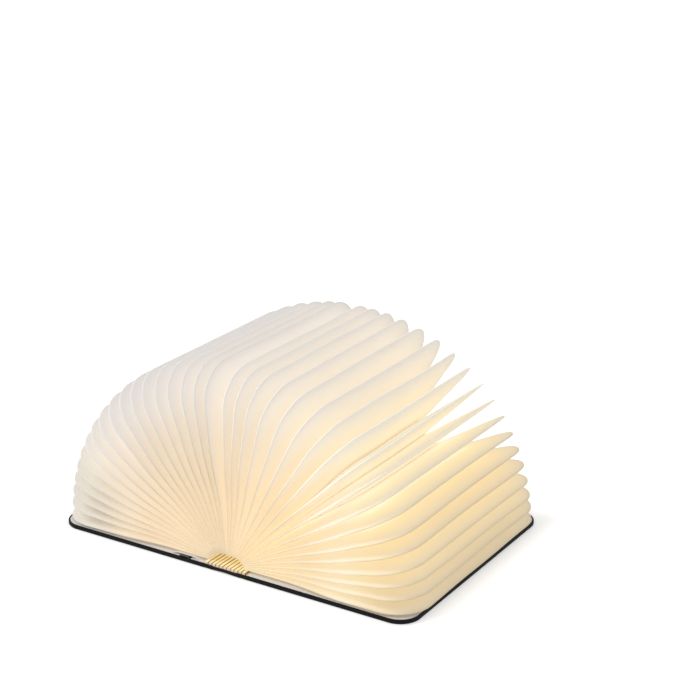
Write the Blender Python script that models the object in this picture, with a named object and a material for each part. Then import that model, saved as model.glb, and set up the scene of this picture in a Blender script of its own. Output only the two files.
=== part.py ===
"""Folding book lamp, open flat on its two covers, with its fan of pleats standing over the spine.

X runs across the covers, Y along the spine and Z up. The origin is at the spine's middle, on the surface
that the lamp lies on. Run it with blender --background --python part.py, or from the text editor.
"""

import math

import bmesh
import bpy

MM = 0.001
DEGREE = math.pi / 180
QUARTER = 90.0 * DEGREE
SHARP = 30.0 * DEGREE  # a crease sharper than this is shown as one
WELD = 0.001 * MM

# The whole lamp
HEIGHT = 125.0 * MM  # head to tail, along the spine
SPAN = 190.1 * MM  # fore-edge to fore-edge, lying open
FIT_GAP = 0.2 * MM  # left between pieces that are glued or laid together
OVERRUN = 2.0 * MM  # how far a cutter runs past what it cuts
SWING_GAP = 0.4 * MM  # left beside what turns

# Covers: a leatherette tray round a board, lined with an endpaper
SKIN = 0.4 * MM
COVER_THICK = 2.1 * MM
BOARD_THICK = 1.0 * MM
ENDPAPER_THICK = 0.25 * MM
CORNER_R = 10.0 * MM
ENDPAPER_MARGIN = 0.5 * MM
COVER_CLOSE = 85.0 * DEGREE
HINGE_X = 5.5 * MM
HINGE_Z = 1.1 * MM
HINGE_HALF = 1.2 * MM  # from the hinge's axis to the edge of each leatherette piece
BOARD_START = 13.4 * MM  # from the spine's middle to the boards

# Spine: a skin, a card and a liner cut into slats so that it bends
SPINE_RIM = 1.6 * MM
CARD_THICK = 0.3 * MM
SLATS = 11
SLAT_PITCH = 2.2 * MM
KERF = 0.7 * MM
LINER_BASE = 0.5 * MM
SLAT_TALL = 1.5 * MM

# Light strip and its flat lead
STRIP_WIDE = 4.4 * MM
STRIP_END = 12.5 * MM  # from the covers' ends to the strip's ends
STRIP_THICK = 0.25 * MM
CHIPS = 10
CHIP_WIDE = 2.8 * MM
CHIP_LONG = 3.5 * MM
CHIP_TALL = 0.7 * MM
CHIP_SINK_share = 0.2
LEAD_WIDE = 3.0 * MM
LEAD_THICK = 0.2 * MM
LEAD_ASIDE = 2.0 * MM  # from the control board's middle to the lead's, toward the tail

# Electronics in the back cover
CONTROL_WIDE = 14.0 * MM
CONTROL_LONG = 18.0 * MM
CONTROL_THICK = 0.8 * MM
CONTROL_BACK = 3.2 * MM  # from the port's housing to the control board
TAB_WIDE = 3.0 * MM
TAB_THICK = 0.3 * MM
CELL_LONG = 52.0 * MM
CELL_THICK = 0.9 * MM
CELL_TAB = 2.8 * MM  # from the turn of the cell's lead to the cell
CELL_MARGIN = 11.05 * MM  # from the magnet to the cell
SENSOR_WIDE = 3.0 * MM
SENSOR_LONG = 4.0 * MM
SENSOR_ASIDE = 2.0 * MM  # from the cell to the sensor

# Charging port at the tail of the back cover
PORT_X = 22.0 * MM
PORT_TOP = 3.4 * MM
PORT_WIDE = 8.4 * MM
PORT_DEEP = 5.2 * MM
PORT_WALL = 0.3 * MM
PORT_INSET = 0.1 * MM
SOCKET_WALL = 0.25 * MM
SOCKET_DEEP_share = 0.82
TONGUE_THICK = 0.5 * MM
TONGUE_WIDE_share = 0.7
TONGUE_LONG_share = 0.7

# Closing magnets
MAGNET_WIDE = 6.0 * MM
MAGNET_LONG = 20.0 * MM
MAGNET_THICK = 0.8 * MM
MAGNET_EDGE = 4.0 * MM  # from the fore-edge to the magnet

# Pleats: each is a pocket of two sheets, joined round its ridge and open at the spine
PAGES_PER_SIDE = 18
RIDGE_PROUD = 1.25 * MM  # how far the lowest ridges reach past the covers
PAGE_WALL = 0.2 * MM
PAGE_GAP = 0.2 * MM
RIDGE_THICK = 0.5 * MM
SEAM = 2.0 * MM
PAGE_CORNER_R = 17.0 * MM
VALLEY_R = 58.0 * MM  # how far from its root a pleat parts from its neighbours
VALLEY_SIDE = 34.0 * MM  # from the middle of the spine to the same line, along Y
VALLEY_CORNER_R = 8.0 * MM
TAIL_STEP = 2.5 * MM  # how far the pleats stand back from the covers' ends beside the spine
STEP_FROM = 20.0 * MM
STEP_TO = 52.0 * MM
ROOT_LOW = 4.0 * MM  # from the hinge line to the root, along a pleat, at the covers
ROOT_TOP = 6.8 * MM  # the same at the middle
STACK_LOW = 2.55 * MM  # from the hinge line to the pleat's plane, at the covers
STACK_TOP = 5.4 * MM  # the same at the middle
FLOOR_ROOT = 0.3 * MM  # how far the lowest pleat's lower sheet lies under its root
RING_PROUD = 3.45 * MM  # how much larger than the covers' reach the circle of the ridges is
RING_Z = -4.1 * MM
CORNER_STEPS = 4
ROOT_SOLID_share = 0.4

# Where the ridges stand round the ring, as shares of a quarter turn up from each cover
FRONT_TIP_shares = (
    0.052, 0.096, 0.138, 0.184, 0.235, 0.286, 0.340, 0.397, 0.456,
    0.518, 0.582, 0.645, 0.709, 0.775, 0.838, 0.896, 0.945, 0.989,
)
BACK_TIP_shares = (
    0.054, 0.098, 0.141, 0.184, 0.231, 0.279, 0.330, 0.384, 0.443,
    0.505, 0.564, 0.621, 0.678, 0.735, 0.790, 0.845, 0.895, 0.938,
)

HALF_HIGH = HEIGHT / 2
HALF_SPAN = SPAN / 2
FLAT_TOP = SKIN + FIT_GAP + BOARD_THICK + FIT_GAP + ENDPAPER_THICK
LINER_LOW = SKIN + FIT_GAP + CARD_THICK + FIT_GAP
LINER_TOP = LINER_LOW + LINER_BASE + SLAT_TALL
LINER_HALF = SLATS * SLAT_PITCH / 2
STRIP_LONG = HEIGHT - 2 * STRIP_END
CONTROL_Y = PORT_INSET + PORT_DEEP + CONTROL_BACK + CONTROL_LONG / 2 - HALF_HIGH
LEAD_Y = CONTROL_Y - LEAD_ASIDE
CELL_NEAR = PORT_X + CONTROL_WIDE / 2 + FIT_GAP + TAB_WIDE + CELL_TAB
CELL_FAR = HALF_SPAN - MAGNET_EDGE - MAGNET_WIDE - CELL_MARGIN
SENSOR_Y = -CELL_LONG / 2 - SENSOR_ASIDE - SENSOR_LONG / 2
PAGE_LONG = HALF_SPAN + RIDGE_PROUD - HINGE_X - ROOT_LOW
RING_R = HALF_SPAN + RING_PROUD


def clear_scene():
    for obj in list(bpy.data.objects):
        bpy.data.objects.remove(obj, do_unlink=True)


def collection(name):
    made = bpy.data.collections.new(name)
    bpy.context.scene.collection.children.link(made)
    return made


def material(name, colour, roughness, metallic=0.0):
    made = bpy.data.materials.new(name)
    made.use_nodes = True
    shader = made.node_tree.nodes["Principled BSDF"]
    shader.inputs["Base Color"].default_value = (*colour, 1.0)
    shader.inputs["Roughness"].default_value = roughness
    shader.inputs["Metallic"].default_value = metallic
    return made


def empty(name, x, y, z):
    made = bpy.data.objects.new(name, None)
    made.location = (x, y, z)
    LAMP.objects.link(made)
    return made


def place(obj, pivot=None):
    """Puts an object made in world coordinates under its pivot, with its own origin there."""
    if pivot is not None:
        for vertex in obj.data.vertices:
            vertex.co -= pivot.location
        obj.parent = pivot
    return obj


def block(name, x, y, z, look=None, pivot=None, where=None):
    """A box between two values on each axis."""
    mesh = bpy.data.meshes.new(name)
    shape = bmesh.new()
    bmesh.ops.create_cube(shape, size=1.0)
    for vertex in shape.verts:
        for axis, (low, high) in enumerate((x, y, z)):
            vertex.co[axis] = (low + high) / 2 + vertex.co[axis] * (high - low)
    shape.to_mesh(mesh)
    shape.free()
    obj = bpy.data.objects.new(name, mesh)
    (where or LAMP).objects.link(obj)
    if look is not None:
        mesh.materials.append(look)
    return place(obj, pivot)


def slab(name, outline, z, look=None, pivot=None, where=None):
    """A flat piece: a closed outline filled and extruded between two heights."""
    curve = bpy.data.curves.new(name, "CURVE")
    curve.dimensions = "2D"
    curve.fill_mode = "BOTH"
    curve.extrude = (z[1] - z[0]) / 2
    spline = curve.splines.new("POLY")
    spline.points.add(len(outline) - 1)
    for point, (x, y) in zip(spline.points, outline):
        point.co = (x, y, 0.0, 1.0)
    spline.use_cyclic_u = True
    guide = bpy.data.objects.new(name + "_outline", curve)
    bpy.context.scene.collection.objects.link(guide)
    bpy.context.view_layer.update()
    graph = bpy.context.evaluated_depsgraph_get()
    mesh = bpy.data.meshes.new_from_object(guide.evaluated_get(graph))
    bpy.data.objects.remove(guide, do_unlink=True)
    mesh.name = name
    shape = bmesh.new()
    shape.from_mesh(mesh)
    bmesh.ops.remove_doubles(shape, verts=shape.verts, dist=WELD)
    bmesh.ops.recalc_face_normals(shape, faces=shape.faces)
    for vertex in shape.verts:
        vertex.co.z += (z[0] + z[1]) / 2
    shape.to_mesh(mesh)
    shape.free()
    mesh.materials.clear()
    obj = bpy.data.objects.new(name, mesh)
    (where or LAMP).objects.link(obj)
    if look is not None:
        mesh.materials.append(look)
    return place(obj, pivot)


def boolean(obj, other, operation="DIFFERENCE"):
    other.hide_render = True
    other.display_type = "WIRE"
    modifier = obj.modifiers.new(other.name, "BOOLEAN")
    modifier.operation = operation
    modifier.solver = "EXACT"
    modifier.object = other
    return obj


def cover_outline(side, start, inset):
    """A cover's shape from the spine side to the fore-edge, whose two corners are round."""
    radius = CORNER_R - inset
    far, half = HALF_SPAN - inset, HALF_HIGH - inset
    points = [(start, -half)]
    for corner, first in ((-1, -QUARTER), (1, 0)):
        for step in range(CORNER_STEPS * 2 + 1):
            angle = first + QUARTER * step / (CORNER_STEPS * 2)
            points.append(
                (
                    far - radius + radius * math.cos(angle),
                    corner * (half - radius) + radius * math.sin(angle),
                )
            )
    points.append((start, half))
    return [(side * x, y) for x, y in points]


def mirrored(side, low, high):
    return (low, high) if side > 0 else (-high, -low)


def build_cover(name, side, pivot):
    """The tray, board, endpaper and magnet of one cover."""
    skin_start = HINGE_X + HINGE_HALF
    tray = slab(
        name + "_wrap",
        cover_outline(side, skin_start, 0),
        (0, COVER_THICK),
        LOOKS["leatherette"],
        pivot,
    )
    hollow = slab(
        name + "_wrap_hollow",
        cover_outline(side, skin_start - OVERRUN, SKIN),
        (SKIN, COVER_THICK + OVERRUN),
        where=CUTTERS,
    )
    boolean(tray, hollow)
    board_low = SKIN + FIT_GAP
    board = slab(
        name + "_board",
        cover_outline(side, BOARD_START, SKIN + FIT_GAP),
        (board_low, board_low + BOARD_THICK),
        LOOKS["board"],
        pivot,
    )
    endpaper = slab(
        name + "_endpaper",
        cover_outline(side, BOARD_START, SKIN + ENDPAPER_MARGIN),
        (FLAT_TOP - ENDPAPER_THICK, FLAT_TOP),
        LOOKS["endpaper"],
        pivot,
    )
    magnet_far = HALF_SPAN - MAGNET_EDGE
    magnet_x = mirrored(side, magnet_far - MAGNET_WIDE, magnet_far)
    magnet_y = (-MAGNET_LONG / 2, MAGNET_LONG / 2)
    magnet_low = board_low + (BOARD_THICK - MAGNET_THICK) / 2
    block(
        name + "_magnet",
        magnet_x,
        magnet_y,
        (magnet_low, magnet_low + MAGNET_THICK),
        LOOKS["steel"],
        pivot,
    )
    pocket(board, name + "_magnet_pocket", magnet_x, magnet_y)
    return tray, board, endpaper


def pocket(obj, name, x, y, low=-OVERRUN, high=None):
    """Cuts a window round a piece that lies in a board, with the fit gap all round."""
    top = FLAT_TOP if high is None else high
    cutter = block(
        name,
        (x[0] - FIT_GAP, x[1] + FIT_GAP),
        (y[0] - FIT_GAP, y[1] + FIT_GAP),
        (low, top),
        where=CUTTERS,
    )
    return boolean(obj, cutter)


def build_electronics(tray, board, endpaper, pivot):
    """The cell, the control board, the opening sensor and the charging port of the back cover."""
    board_low = SKIN + FIT_GAP
    middle = board_low + BOARD_THICK / 2
    cell_x = (-CELL_FAR, -CELL_NEAR)
    cell_y = (-CELL_LONG / 2, CELL_LONG / 2)
    cell_z = (middle - CELL_THICK / 2, middle + CELL_THICK / 2)
    block("battery_cell", cell_x, cell_y, cell_z, LOOKS["cell"], pivot)
    pocket(board, "battery_window", cell_x, cell_y)

    control_x = (-PORT_X - CONTROL_WIDE / 2, -PORT_X + CONTROL_WIDE / 2)
    control_y = (CONTROL_Y - CONTROL_LONG / 2, CONTROL_Y + CONTROL_LONG / 2)
    control_z = (middle - CONTROL_THICK / 2, middle + CONTROL_THICK / 2)
    block("control_board", control_x, control_y, control_z, LOOKS["circuit"], pivot)
    pocket(board, "control_window", control_x, control_y)

    # The cell's two tabs run to the control board side by side, as one flat lead.
    tab_y = (cell_y[0] + TAB_WIDE, cell_y[0] + 2 * TAB_WIDE)
    tab_x = (cell_x[1] + FIT_GAP, control_x[0] - FIT_GAP)
    reach_y = (control_y[1] - TAB_WIDE, tab_y[1])
    tab_z = (middle - TAB_THICK / 2, middle + TAB_THICK / 2)
    bend_x = (control_x[0] - FIT_GAP - TAB_WIDE, control_x[0] - FIT_GAP)
    slab(
        "cell_lead",
        [
            (tab_x[0], tab_y[0]),
            (bend_x[0], tab_y[0]),
            (bend_x[0], reach_y[0]),
            (bend_x[1], reach_y[0]),
            (bend_x[1], tab_y[1]),
            (tab_x[0], tab_y[1]),
        ],
        tab_z,
        LOOKS["copper"],
        pivot,
    )
    pocket(board, "cell_lead_channel", (tab_x[0], tab_x[1]), tab_y)
    pocket(board, "cell_lead_turn", bend_x, reach_y)

    sensor_x = (-CELL_FAR - SENSOR_WIDE / 2, -CELL_FAR + SENSOR_WIDE / 2)
    sensor_y = (SENSOR_Y - SENSOR_LONG / 2, SENSOR_Y + SENSOR_LONG / 2)
    block("opening_sensor", sensor_x, sensor_y, control_z, LOOKS["chip"], pivot)
    pocket(board, "sensor_window", sensor_x, sensor_y)

    # The port's housing is an arch over the socket, let into the board, the endpaper and the tray's rim.
    port_x = (-PORT_X - PORT_WIDE / 2, -PORT_X + PORT_WIDE / 2)
    port_y = (-HALF_HIGH + PORT_INSET, -HALF_HIGH + PORT_INSET + PORT_DEEP)
    port_low = SKIN + FIT_GAP
    housing = block(
        "port_housing", port_x, port_y, (port_low, PORT_TOP), LOOKS["plastic"], pivot
    )
    bore_x = (port_x[0] + PORT_WALL, port_x[1] - PORT_WALL)
    boolean(
        housing,
        block(
            "port_housing_bore",
            bore_x,
            (port_y[0] - OVERRUN, port_y[1] + OVERRUN),
            (port_low - FIT_GAP, PORT_TOP - PORT_WALL),
            where=CUTTERS,
        ),
    )
    socket_x = (bore_x[0] + FIT_GAP, bore_x[1] - FIT_GAP)
    socket_y = (port_y[0] + PORT_INSET, port_y[1] - PORT_INSET)
    socket_z = (port_low, PORT_TOP - PORT_WALL - FIT_GAP)
    socket = block("usb_socket", socket_x, socket_y, socket_z, LOOKS["steel"], pivot)
    mouth_y = socket_y[0] + (socket_y[1] - socket_y[0]) * SOCKET_DEEP_share
    mouth = block(
        "usb_socket_mouth",
        (socket_x[0] + SOCKET_WALL, socket_x[1] - SOCKET_WALL),
        (socket_y[0] - OVERRUN, mouth_y),
        (socket_z[0] + SOCKET_WALL, socket_z[1] - SOCKET_WALL),
        where=CUTTERS,
    )
    boolean(socket, mouth)
    tongue_half = (socket_x[1] - socket_x[0]) / 2 * TONGUE_WIDE_share
    tongue_mid = (socket_z[0] + socket_z[1]) / 2
    tongue_long = (mouth_y - socket_y[0]) * TONGUE_LONG_share
    tongue = block(
        "usb_socket_tongue",
        (-PORT_X - tongue_half, -PORT_X + tongue_half),
        (mouth_y - tongue_long, (mouth_y + socket_y[1]) / 2),
        (tongue_mid - TONGUE_THICK / 2, tongue_mid + TONGUE_THICK / 2),
        where=CUTTERS,
    )
    boolean(socket, tongue, "UNION")
    notch_y = (port_y[0] - OVERRUN, port_y[1])
    pocket(board, "port_board_notch", port_x, notch_y)
    pocket(endpaper, "port_endpaper_notch", port_x, notch_y, high=PORT_TOP)
    pocket(
        tray, "port_rim_notch", port_x, notch_y, low=SKIN, high=PORT_TOP
    )


def build_spine(back_board):
    """The skin, card and slatted liner, the light strip, its lead and the two flexing strips of skin."""
    half = HINGE_X - HINGE_HALF
    skin = block(
        "spine_wrap",
        (-half, half),
        (-HALF_HIGH, HALF_HIGH),
        (0, SPINE_RIM),
        LOOKS["leatherette"],
    )
    boolean(
        skin,
        block(
            "spine_wrap_hollow",
            (-half - OVERRUN, half + OVERRUN),
            (-HALF_HIGH + SKIN, HALF_HIGH - SKIN),
            (SKIN, SPINE_RIM + OVERRUN),
            where=CUTTERS,
        ),
    )
    inner = HALF_HIGH - SKIN - FIT_GAP
    card_low = SKIN + FIT_GAP
    block(
        "spine_card",
        (-half, half),
        (LEAD_Y + LEAD_WIDE / 2 + FIT_GAP, inner),
        (card_low, card_low + CARD_THICK),
        LOOKS["board"],
    )
    for name, side in (("back", -1), ("front", 1)):
        edge = mirrored(side, half + FIT_GAP, HINGE_X + HINGE_HALF - FIT_GAP)
        block(
            name + "_hinge_strip",
            edge,
            (-HALF_HIGH, HALF_HIGH),
            (0, SKIN),
            LOOKS["leatherette"],
        )

    # The liner stands inside the rims, and each kerf leaves its base whole.
    liner_y = (-inner, inner)
    liner = block(
        "spine_liner",
        (-LINER_HALF, LINER_HALF),
        liner_y,
        (LINER_LOW, LINER_TOP),
        LOOKS["slat"],
    )
    for kerf in range(1, SLATS):
        x = -LINER_HALF + kerf * SLAT_PITCH
        boolean(
            liner,
            block(
                f"liner_kerf_{kerf:02d}",
                (x - KERF / 2, x + KERF / 2),
                (-inner - OVERRUN, inner + OVERRUN),
                (LINER_LOW + LINER_BASE, LINER_TOP + OVERRUN),
                where=CUTTERS,
            ),
        )

    strip_low = LINER_TOP + FIT_GAP
    strip = block(
        "led_strip",
        (-STRIP_WIDE / 2, STRIP_WIDE / 2),
        (-STRIP_LONG / 2, STRIP_LONG / 2),
        (strip_low, strip_low + STRIP_THICK),
        LOOKS["circuit"],
    )
    chip_low = strip_low + STRIP_THICK - STRIP_THICK * CHIP_SINK_share
    for chip in range(CHIPS):
        y = (chip + 0.5) / CHIPS * STRIP_LONG - STRIP_LONG / 2
        boolean(
            strip,
            block(
                f"led_chip_{chip + 1:02d}",
                (-CHIP_WIDE / 2, CHIP_WIDE / 2),
                (y - CHIP_LONG / 2, y + CHIP_LONG / 2),
                (chip_low, strip_low + STRIP_THICK + CHIP_TALL),
                where=CUTTERS,
            ),
            "UNION",
        )
    lead_low = SKIN + FIT_GAP
    lead_x = (-PORT_X + CONTROL_WIDE / 2 + FIT_GAP, STRIP_WIDE / 2)
    lead_y = (LEAD_Y - LEAD_WIDE / 2, LEAD_Y + LEAD_WIDE / 2)
    lead_z = (lead_low, lead_low + LEAD_THICK)
    block("led_lead", lead_x, lead_y, lead_z, LOOKS["copper"])
    pocket(back_board, "led_lead_channel", lead_x, lead_y)


class Page:
    """One pleat: its root, its direction and its place in the fan, in the XZ plane."""

    def __init__(self, name, side, index, tip_share):
        count = PAGES_PER_SIDE
        share = (index + 0.5) / count
        self.name, self.side, self.index = name, side, index
        self.out = ROOT_LOW + (ROOT_TOP - ROOT_LOW) * share**2
        self.off = STACK_LOW + (STACK_TOP - STACK_LOW) * share
        ring = tip_share * QUARTER
        tip_x = RING_R * math.cos(ring) - HINGE_X
        tip_z = RING_R * math.sin(ring) + RING_Z - HINGE_Z
        lean = math.atan2(self.off, self.out + PAGE_LONG)
        self.rise = math.atan2(tip_z, tip_x) - lean
        self.shut = COVER_CLOSE + (QUARTER - COVER_CLOSE) * share
        self.rate = (self.shut - self.rise) / COVER_CLOSE
        self.turn = self.rise if side > 0 else math.pi - self.rise
        along = (math.cos(self.rise), math.sin(self.rise))
        root_x = HINGE_X + self.out * along[0] - self.off * along[1]
        root_z = HINGE_Z + self.out * along[1] + self.off * along[0]
        self.root = (side * root_x, root_z)

    def at(self, r):
        """A point of the pleat's middle plane, at this distance from its root."""
        return (
            self.root[0] + r * math.cos(self.turn),
            self.root[1] + r * math.sin(self.turn),
        )


def tail_step(r):
    share = min(1.0, max(0.0, (r - STEP_FROM) / (STEP_TO - STEP_FROM)))
    return TAIL_STEP * (1 + math.cos(math.pi * share)) / 2


def page_path():
    """Stations round a pleat from its tail root to its head root: ridge (r, y), then valley line (r, y)."""
    straight = PAGE_LONG - PAGE_CORNER_R
    inner = VALLEY_R - VALLEY_CORNER_R
    half = []
    for r in (0, STEP_FROM, (STEP_FROM + STEP_TO) / 2, STEP_TO, straight):
        half.append(
            (r, -HALF_HIGH + tail_step(r), inner * r / straight, -VALLEY_SIDE)
        )
    for step in range(1, CORNER_STEPS + 1):
        angle = QUARTER * step / CORNER_STEPS - QUARTER
        cos, sin = math.cos(angle), math.sin(angle)
        half.append(
            (
                straight + PAGE_CORNER_R * cos,
                -HALF_HIGH + PAGE_CORNER_R + PAGE_CORNER_R * sin,
                inner + VALLEY_CORNER_R * cos,
                -VALLEY_SIDE + VALLEY_CORNER_R + VALLEY_CORNER_R * sin,
            )
        )
    return half + [(a, -b, c, -d) for a, b, c, d in reversed(half)]


def toward(start, end, distance):
    """The point this far from one point towards another."""
    dx, dz = end[0] - start[0], end[1] - start[1]
    share = distance / math.hypot(dx, dz)
    return (start[0] + dx * share, start[1] + dz * share)


def half_room(page, other, r):
    """Half the distance from a pleat to its neighbour at this radius, less half their gap."""
    a, b = page.at(r), other.at(r)
    return math.hypot(b[0] - a[0], b[1] - a[1]) / 2 - PAGE_GAP / 2


def floor_point(page, r):
    """The lowest pleat's lower sheet, which slopes from its root down to the endpaper."""
    x, z = page.at(r)
    start = page.root[1] - FLOOR_ROOT
    low = FLAT_TOP + SWING_GAP
    return (x, start + (low - start) * min(1.0, r / VALLEY_R))


def build_page(pages, number):
    """A pocket of two sheets, lofted from its round ridge to the line where it meets its neighbours."""
    page = pages[number]
    above = pages[number + 1] if number + 1 < len(pages) else None
    below = pages[number - 1] if number > 0 else None
    shape = bmesh.new()
    cos, sin = math.cos(page.turn), math.sin(page.turn)
    hinge = (page.side * HINGE_X, HINGE_Z)

    def vertex(point, y):
        dx, dz = point[0] - hinge[0], point[1] - hinge[1]
        return shape.verts.new((dx * cos + dz * sin, y, dz * cos - dx * sin))

    def valley(other, r):
        if other is None:
            outer = floor_point(page, r)
        else:
            outer = toward(page.at(r), other.at(r), half_room(page, other, r))
        room = math.hypot(outer[0] - page.at(r)[0], outer[1] - page.at(r)[1])
        inner = max(room - PAGE_WALL, room * ROOT_SOLID_share)
        return outer, toward(page.at(r), outer, inner)

    rows = []
    for ridge_r, ridge_y, valley_r, valley_y in page_path():
        room = min(
            half_room(page, other, ridge_r) if other else FLOOR_ROOT
            for other in (above, below)
        )
        half = min(RIDGE_THICK / 2, room)
        x, z = page.at(ridge_r)
        distance = math.hypot(ridge_r - valley_r, ridge_y - valley_y)
        share = SEAM / distance
        notch_r = ridge_r + (valley_r - ridge_r) * share
        notch_y = ridge_y + (valley_y - ridge_y) * share
        row = [vertex((x - half * sin, z + half * cos), ridge_y)]
        outer, inner = valley(above, valley_r)
        row += [vertex(outer, valley_y), vertex(inner, valley_y)]
        row.append(vertex(page.at(notch_r), notch_y))
        outer, inner = valley(below, valley_r)
        row += [vertex(inner, valley_y), vertex(outer, valley_y)]
        row.append(vertex((x + half * sin, z - half * cos), ridge_y))
        rows.append(row)

    # Columns: upper ridge, upper valley, its inside, seam, lower inside, lower valley, lower ridge
    for one, two in zip(rows, rows[1:]):
        for a, b in ((6, 0), (0, 1), (2, 3), (3, 4), (5, 6)):
            shape.faces.new((one[a], two[a], two[b], one[b]))
    for column in (1, 2, 4, 5):
        shape.faces.new([row[column] for row in rows])
    first, last = rows[0], rows[-1]
    for row in (first, last):
        shape.faces.new((row[0], row[1], row[2], row[3]))
        shape.faces.new((row[3], row[4], row[5], row[6]))
        shape.faces.new((row[0], row[3], row[6]))
    for a, b in ((1, 2), (4, 5)):
        shape.faces.new((first[a], last[a], last[b], first[b]))
    bmesh.ops.triangulate(shape, faces=shape.faces)
    bmesh.ops.recalc_face_normals(shape, faces=shape.faces)
    mesh = bpy.data.meshes.new(page.name)
    shape.to_mesh(mesh)
    shape.free()
    mesh.materials.append(LOOKS["pleat"])
    obj = bpy.data.objects.new(page.name, mesh)
    obj.location = (hinge[0], 0, hinge[1])
    obj.rotation_euler = (0, -page.turn, 0)
    LAMP.objects.link(obj)
    mesh.shade_smooth()
    mesh.set_sharp_from_angle(angle=SHARP)
    return obj


def fan():
    """All the pleats in order, from the front cover over the top to the back cover."""
    front = [
        Page(f"page_front_{i + 1:02d}", 1, i, FRONT_TIP_shares[i])
        for i in range(PAGES_PER_SIDE)
    ]
    back = [
        Page(f"page_back_{i + 1:02d}", -1, i, BACK_TIP_shares[i])
        for i in range(PAGES_PER_SIDE)
    ]
    return front + back[::-1]


def main():
    back_pivot = empty("back_cover_pivot", -HINGE_X, 0, HINGE_Z)
    front_pivot = empty("front_cover_pivot", HINGE_X, 0, HINGE_Z)
    bpy.context.view_layer.update()
    tray, board, endpaper = build_cover("back", -1, back_pivot)
    build_electronics(tray, board, endpaper, back_pivot)
    build_cover("front", 1, front_pivot)
    build_spine(board)
    pages = fan()
    for number in range(len(pages)):
        build_page(pages, number)
    for page in pages:
        print(
            f"{page.name}: rises {page.rise / DEGREE:.3f} degrees, follows its cover at {page.rate:.5f}"
        )


clear_scene()
LAMP = collection("folding_book_lamp")
CUTTERS = collection("folding_book_lamp_cutters")
LOOKS = {
    "leatherette": material("leatherette", (0.018, 0.019, 0.028), 0.55),
    "board": material("board", (0.45, 0.38, 0.3), 0.9),
    "endpaper": material("endpaper", (0.82, 0.81, 0.8), 0.85),
    "pleat": material("pleat", (0.95, 0.93, 0.9), 0.8),
    "slat": material("slat", (0.8, 0.55, 0.25), 0.6),
    "circuit": material("circuit", (0.9, 0.9, 0.88), 0.5),
    "chip": material("chip", (0.02, 0.02, 0.02), 0.4),
    "cell": material("cell", (0.6, 0.6, 0.62), 0.35, 0.8),
    "copper": material("copper", (0.8, 0.45, 0.25), 0.4, 0.9),
    "plastic": material("plastic", (0.015, 0.015, 0.015), 0.45),
    "steel": material("steel", (0.6, 0.6, 0.6), 0.3, 1.0),
}
main()
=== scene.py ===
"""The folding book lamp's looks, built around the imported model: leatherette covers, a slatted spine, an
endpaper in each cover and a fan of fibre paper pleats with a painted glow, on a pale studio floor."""

import math

import bmesh
import bpy
import numpy as np
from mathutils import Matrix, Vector, noise


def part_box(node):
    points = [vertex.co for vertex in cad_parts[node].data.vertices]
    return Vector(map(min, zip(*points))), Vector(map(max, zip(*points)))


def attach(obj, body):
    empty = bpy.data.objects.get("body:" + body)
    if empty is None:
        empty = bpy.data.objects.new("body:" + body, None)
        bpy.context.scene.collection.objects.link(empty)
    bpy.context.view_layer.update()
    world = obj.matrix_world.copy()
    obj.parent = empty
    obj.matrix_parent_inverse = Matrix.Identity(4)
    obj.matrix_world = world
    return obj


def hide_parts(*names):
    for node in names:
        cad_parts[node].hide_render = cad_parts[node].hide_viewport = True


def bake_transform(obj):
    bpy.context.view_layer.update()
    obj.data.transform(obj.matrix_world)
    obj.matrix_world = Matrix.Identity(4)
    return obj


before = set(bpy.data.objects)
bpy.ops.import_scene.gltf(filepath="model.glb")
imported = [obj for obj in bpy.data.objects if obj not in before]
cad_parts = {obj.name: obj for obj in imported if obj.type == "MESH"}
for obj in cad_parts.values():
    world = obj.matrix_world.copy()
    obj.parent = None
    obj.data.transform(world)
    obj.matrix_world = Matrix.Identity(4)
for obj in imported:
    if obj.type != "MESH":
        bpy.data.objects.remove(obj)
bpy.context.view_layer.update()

MM = 0.001
DEGREE = math.pi / 180

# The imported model's sizes that the looks are built on
HALF_HIGH = 62.5 * MM
HALF_SPAN = 95.05 * MM
HINGE_X = 5.5 * MM
HINGE_Z = 1.1 * MM
HINGE_HALF = 1.2 * MM
CORNER_R = 10.0 * MM
SKIN = 0.4 * MM
COVER_TOP = 2.1 * MM
SPINE_TOP = 1.6 * MM
FLAT_TOP = 2.05 * MM
BOARD_TOP = 1.6 * MM
BOARD_START = 13.4 * MM
COVER_CLOSE = 85.0 * DEGREE

PAGES = 18
PAGE_LONG = 86.8 * MM
PAGE_CORNER_R = 17.0 * MM
VALLEY_R = 58.0 * MM
VALLEY_SIDE = 34.0 * MM
VALLEY_CORNER_R = 8.0 * MM
TAIL_STEP = 2.5 * MM
STEP_FROM = 20.0 * MM
STEP_TO = 52.0 * MM
ROOT_OUT = (4.0 * MM, 6.8 * MM)
ROOT_OFF = (2.55 * MM, 5.4 * MM)
FLOOR_ROOT = 0.3 * MM
FLOOR_GAP = 0.4 * MM
RING_R = 98.5 * MM
RING_Z = -4.1 * MM
FRONT_TIP_shares = (
    0.052, 0.096, 0.138, 0.184, 0.235, 0.286, 0.340, 0.397, 0.456,
    0.518, 0.582, 0.645, 0.709, 0.775, 0.838, 0.896, 0.945, 0.989,
)
BACK_TIP_shares = (
    0.054, 0.098, 0.141, 0.184, 0.231, 0.279, 0.330, 0.384, 0.443,
    0.505, 0.564, 0.621, 0.678, 0.735, 0.790, 0.845, 0.895, 0.938,
)


# ---------------------------------------------------------------- camera, floor and light

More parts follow.
